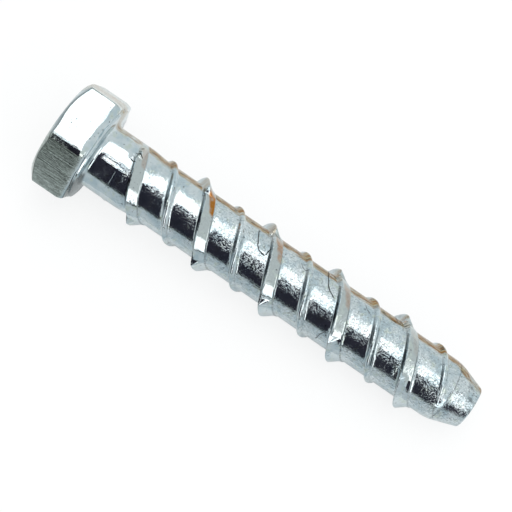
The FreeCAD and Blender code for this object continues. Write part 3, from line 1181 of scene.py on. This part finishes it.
    def folds(self, sheet: NodeSheet) -> Socket:
        """Draw the folds along the lines kept on the mesh.

        Args:
            sheet: The material's nodes.

        Returns:
            How deep in a fold a point is, from 0 to 1.
        """
        waver = Pattern(0.33, 0.33, 0.0, 1.0, self.fold_waver / 2, -self.fold_waver / 2, wrap=Wrap.UNROLLED)
        side = sheet.add("ShaderNodeAttribute", {"attribute_name": "lap_side"}, {})
        shifted = sheet.add("ShaderNodeMath", {"operation": "ADD"}, {0: side.outputs["Fac"], 1: waver.build(sheet)})
        apart = sheet.add("ShaderNodeMath", {"operation": "ABSOLUTE"}, {0: shifted.outputs[0]})
        line = sheet.add("ShaderNodeMapRange", {"interpolation_type": "SMOOTHSTEP"}, {
            "Value": apart.outputs[0], "From Min": self.fold_outer, "From Max": self.fold_inner})
        near = sheet.add("ShaderNodeAttribute", {"attribute_name": "lap_near"}, {})
        fold = sheet.add("ShaderNodeMath", {"operation": "MULTIPLY"}, {0: line.outputs[0], 1: near.outputs["Fac"]})
        return fold.outputs[0]

    def tint(self, sheet: NodeSheet, fold: Socket) -> Socket:
        """Lay the tints over the plate's own colour.

        Args:
            sheet: The material's nodes.
            fold: How deep in a fold a point is.

        Returns:
            The colour.
        """
        colour: Any = linear(self.colour)
        layers = [(layer.strength(sheet), layer.colour) for layer in self.tints]
        for share, tint in (*layers, (fold, self.fold)):
            mix = sheet.add("ShaderNodeMix", {"data_type": "RGBA", "clamp_factor": True}, {
                0: share, 6: colour, 7: linear(tint)})
            colour = mix.outputs[2]
        return colour

    def roughness(self, sheet: NodeSheet, fold: Socket) -> Socket:
        """Make it smooth in clouds where the dies pressed, and rough where the brown reflection is painted and in
        folds.

        Args:
            sheet: The material's nodes.
            fold: How deep in a fold a point is.

        Returns:
            The roughness.
        """
        clouds = Pattern(2.0, 2.0, 0.35, 0.75, self.worn, self.smooth, detail=4.0).build(sheet)
        brown_rough = Layer(mark="brown", amount=self.brown_roughness).strength(sheet)
        both = sheet.add("ShaderNodeMath", {"operation": "ADD"}, {0: clouds, 1: brown_rough})
        rough = sheet.add("ShaderNodeMath", {"operation": "MULTIPLY_ADD"}, {
            0: fold, 1: self.fold_roughness, 2: both.outputs[0]})
        return rough.outputs[0]

    def relief(self, sheet: NodeSheet, fold: Socket) -> Socket:
        """Bump the surface by the relief layers and cut it by the folds.

        Args:
            sheet: The material's nodes.
            fold: How deep in a fold a point is.

        Returns:
            The normal.
        """
        height = sheet.add("ShaderNodeMath", {"operation": "MULTIPLY"}, {0: fold, 1: -self.fold_depth})
        for layer in self.reliefs:
            height = sheet.add("ShaderNodeMath", {"operation": "ADD"}, {
                0: height.outputs[0], 1: layer.strength(sheet)})
        bump = sheet.add("ShaderNodeBump", {}, {"Strength": 1.0, "Distance": MM, "Height": height.outputs[0]})
        return bump.outputs[0]


# Camera and stage


@dataclass(frozen=True)
class Camera:
    """The photograph's camera, placed in the screw's own frame. The two clipping distances are in metres."""

    round_angle: float = 21.93
    place_along: float = 34.65
    place_down: float = -0.81
    distance: float = 256.3
    slant: float = 0.64
    roll: float = 34.46
    focal_pixels: float = 1508.0
    image_pixels: float = 512.0
    sensor_width: float = 36.0
    nearest: float = 0.01
    farthest: float = 10.0

    def build(self, frame: ScrewFrame) -> None:
        """Create the camera and make it the scene's own.

        Args:
            frame: Where the screw's own frame is.
        """
        turn, slant, tilt = (math.radians(angle) for angle in (self.round_angle, self.slant, self.roll))
        along = Vector((1.0, 0.0, 0.0))
        out = Vector((0.0, -math.sin(turn), math.cos(turn)))
        down = Vector((0.0, -math.cos(turn), -math.sin(turn)))
        place = along * self.place_along + down * self.place_down + out * self.distance
        right = along * math.cos(slant) - out * math.sin(slant)
        forward = -out * math.cos(slant) - along * math.sin(slant)
        image_right = right * math.cos(tilt) - down * math.sin(tilt)
        image_down = right * math.sin(tilt) + down * math.cos(tilt)
        axes = Matrix((image_right, -image_down, -forward)).transposed()
        turn_only = frame.matrix.to_3x3() * (1.0 / MM)
        data = bpy.data.cameras.new("photo_camera")
        data.sensor_width = self.sensor_width
        data.lens = self.focal_pixels / self.image_pixels * data.sensor_width
        data.clip_start, data.clip_end = self.nearest, self.farthest
        camera = bpy.data.objects.new("photo_camera", data)
        bpy.context.scene.collection.objects.link(camera)
        camera.matrix_world = Matrix.Translation(frame.matrix @ place) @ (turn_only @ axes).to_4x4()
        bpy.context.scene.camera = camera


@dataclass(frozen=True)
class Card:
    """A card beside the screw, with its place in x and two elevations seen from it, at its left and its right.

    Elevations run from the camera's side of the floor, over the top, to the far side. Lengths are
    metres in the row's frame.
    """

    name: str
    distance: float
    left: tuple[float, float, float]
    right: tuple[float, float, float]
    steps: int = 16

    def build(self) -> Object:
        """Bend the card round the screw.

        Returns:
            The card, in the row's frame.
        """
        deselect_all()
        bpy.ops.mesh.primitive_grid_add(x_subdivisions=1, y_subdivisions=self.steps, size=2.0)
        card = bpy.context.object
        card.name = self.name
        ends = {-1: self.left, 1: self.right}
        corners = []
        for side, rise, _ in read_points(card):
            x, low, high = ends[round(side)]
            turn = math.radians(low + (high - low) * (rise + 1.0) / 2.0)
            corners.append((x, -self.distance * math.cos(turn), self.distance * math.sin(turn)))
        write_points(card, np.array(corners))
        return card


@dataclass(frozen=True)
class Studio:
    """Pale floor and walls, a wide soft box overhead, and dark cards that the plate mirrors, in metres."""

    floor_size: float = 4.0
    floor_colour: str = "#f4f5f5"
    floor_glow: float = 0.80
    mirrored_glow: float = 0.12
    wall_colour: str = "#cfd4d5"
    wall_strength: float = 1.4
    soft_box_strength: float = 2.5
    low_box_strength: float = 2.3
    card_colour: str = "#33313b"
    grey_colour: str = "#c9cccd"
    cloth_height: float = 0.001
    cloth_colours: tuple[str, ...] = ("#ccd3d6", "#8b938f", "#2a2d2f")
    cloth_fades: tuple[tuple[float, float], ...] = ((-0.062, -0.100), (-0.118, -0.150))
    cloth_strength: float = 1.13
    floor_cloth_ends: tuple[float, float, float, float] = (-0.6, -1.5, 0.4, -0.012)
    grey_cloth_ends: tuple[float, float, float, float] = (-0.6, -0.012, -0.07, 0.6)
    end_card_size: float = 0.45
    end_card_place: tuple[float, float, float] = (-0.4, -0.225, 0.225)
    soft_boxes: tuple[Card, ...] = (
        Card("head_soft_box", 0.5, (-0.15, 64.0, 131.0), (-0.060, 64.0, 127.0)),
        Card("soft_box", 0.5, (-0.060, 85.0, 126.0), (0.073, 67.8, 102.5)),
        Card("tip_soft_box", 0.5, (0.073, 67.8, 102.5), (0.143, 66.0, 98.0)),
        Card("end_soft_box", 0.65, (0.56, 40.0, 95.0), (1.1, 40.0, 95.0)),
    )
    low_boxes: tuple[Card, ...] = (Card("low_box", 1.0, (0.35, 0.5, 41.0), (0.97, 0.5, 41.0)),)
    dark_cards: tuple[Card, ...] = (
        Card("dark_card", 1.0, (-0.215, 0.5, 64.0), (0.30, 0.5, 64.0)),
        Card("middle_card", 0.6, (-0.072, 52.0, 88.0), (0.167, 52.0, 80.0)),
        Card("dark_end_card", 0.65, (0.50, 0.5, 40.0), (1.3, 0.5, 40.0)),
        Card("upper_bar", 0.49, (-0.14, 81.6, 83.8), (-0.061, 81.6, 83.8)),
        Card("lower_bar", 0.49, (-0.14, 73.0, 78.2), (-0.061, 73.0, 78.2)),
    )

    def build(self) -> None:
        """Build the floor, the cards and the world."""
        deselect_all()
        bpy.ops.mesh.primitive_plane_add(size=self.floor_size, location=(0.0, 0.0, 0.0))
        floor = bpy.context.object
        floor.name = "floor"
        floor.data.materials.append(self.floor_paper())
        dark = plain_material("black_cloth", "ShaderNodeBsdfDiffuse", {"Color": linear(self.card_colour)})
        for card in self.dark_cards:
            self.only_mirrored(card.build(), dark)
        grey = plain_material("grey_cloth", "ShaderNodeBsdfDiffuse", {"Color": linear(self.grey_colour)})
        self.cloth("floor_cloth", self.floor_cloth_ends, self.floor_cloth())
        self.cloth("grey_cloth", self.grey_cloth_ends, grey)
        deselect_all()
        bpy.ops.mesh.primitive_plane_add(
            size=self.end_card_size, location=self.end_card_place, rotation=(0.0, math.pi / 2, 0.0))
        bpy.context.object.name = "end_card"
        self.only_mirrored(bpy.context.object, dark)
        for boxes, strength in ((self.soft_boxes, self.soft_box_strength), (self.low_boxes, self.low_box_strength)):
            light = plain_material("soft_box_light", "ShaderNodeEmission", {"Strength": strength})
            for box in boxes:
                card = box.build()
                card.visible_camera = False
                card.data.materials.append(light)
        world = bpy.data.worlds.new("studio")
        bpy.context.scene.world = world
        world.use_nodes = True
        background = world.node_tree.nodes["Background"]
        background.inputs["Color"].default_value = linear(self.wall_colour)
        background.inputs["Strength"].default_value = self.wall_strength

    @staticmethod
    def only_mirrored(obj: Object, material: Material) -> None:
        """Dress a card or cloth that only shows in what is polished.

        Args:
            obj: The card or cloth.
            material: Its finish.
        """
        obj.visible_camera = False
        obj.visible_diffuse = False
        obj.visible_shadow = False
        obj.data.materials.append(material)

    def cloth(self, name: str, ends: tuple[float, float, float, float], material: Material) -> None:
        """Lay a cloth on the floor, which only shows in what is polished.

        Args:
            name: The cloth's name.
            ends: The x and y of its first corner, and those of its last.
            material: Its finish.
        """
        deselect_all()
        x0, y0, x1, y1 = ends
        bpy.ops.mesh.primitive_plane_add(size=1.0, location=((x0 + x1) / 2, (y0 + y1) / 2, self.cloth_height))
        cloth = bpy.context.object
        cloth.name = name
        with editing(cloth):
            bpy.ops.transform.resize(value=(x1 - x0, y1 - y0, 1.0))
        self.only_mirrored(cloth, material)

    def floor_paper(self) -> Material:
        """Make pale paper that looks white where it is seen, and keeps the screw's shadow.

        Returns:
            The floor's material.
        """
        sheet = NodeSheet("pale_floor")
        paper = sheet.add("ShaderNodeBsdfDiffuse", {}, {"Color": linear(self.floor_colour)})
        white = sheet.add("ShaderNodeEmission", {}, {"Strength": 1.0})
        path = sheet.add("ShaderNodeLightPath", {}, {})
        seen = sheet.add("ShaderNodeMath", {"operation": "MULTIPLY"}, {
            0: path.outputs["Is Camera Ray"], 1: self.floor_glow})
        through = sheet.add("ShaderNodeMath", {"operation": "MAXIMUM"}, {
            0: path.outputs["Is Glossy Ray"], 1: path.outputs["Is Transmission Ray"]})
        mirrored = sheet.add("ShaderNodeMath", {"operation": "MULTIPLY_ADD"}, {
            0: through.outputs[0], 1: self.mirrored_glow, 2: seen.outputs[0]})
        mix = sheet.add("ShaderNodeMixShader", {}, {0: mirrored.outputs[0], 1: paper.outputs[0], 2: white.outputs[0]})
        sheet.add("ShaderNodeOutputMaterial", {}, {"Surface": mix.outputs[0]})
        return sheet.material

    def floor_cloth(self) -> Material:
        """Make a cloth that darkens away from the screw.

        Returns:
            The cloth's material.
        """
        sheet = NodeSheet("floor_cloth")
        place = sheet.add("ShaderNodeNewGeometry", {}, {})
        axes = sheet.add("ShaderNodeSeparateXYZ", {}, {0: place.outputs["Position"]})
        colour: Any = linear(self.cloth_colours[0])
        for (near, far), tint in zip(self.cloth_fades, self.cloth_colours[1:]):
            fade = sheet.add("ShaderNodeMapRange", {"interpolation_type": "SMOOTHSTEP"}, {
                "Value": axes.outputs["Y"], "From Min": near, "From Max": far})
            mix = sheet.add("ShaderNodeMix", {"data_type": "RGBA"}, {0: fade.outputs[0], 6: colour, 7: linear(tint)})
            colour = mix.outputs[2]
        light = sheet.add("ShaderNodeEmission", {}, {"Color": colour, "Strength": self.cloth_strength})
        sheet.add("ShaderNodeOutputMaterial", {}, {"Surface": light.outputs[0]})
        return sheet.material


def main() -> None:
    """Build the screw, its finish and the studio, and log the screw's vertex and face counts."""
    logging.basicConfig(level=logging.INFO, format="%(message)s")
    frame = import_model()
    head = HexHead()
    screw_frame = ScrewFrame.from_record(frame["record"], head.height)
    Camera().build(screw_frame)
    Studio().build()
    screw = ConcreteScrew(screw_frame, head=head).build(ZincPlate().material())
    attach(screw, "root")
    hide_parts("concrete_screw")
    LOG.info("screw: %d vertices, %d faces", len(screw.data.vertices), len(screw.data.polygons))
    bpy.context.scene.view_settings.view_transform = "Standard"
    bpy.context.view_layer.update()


if __name__ == "__main__":
    main()
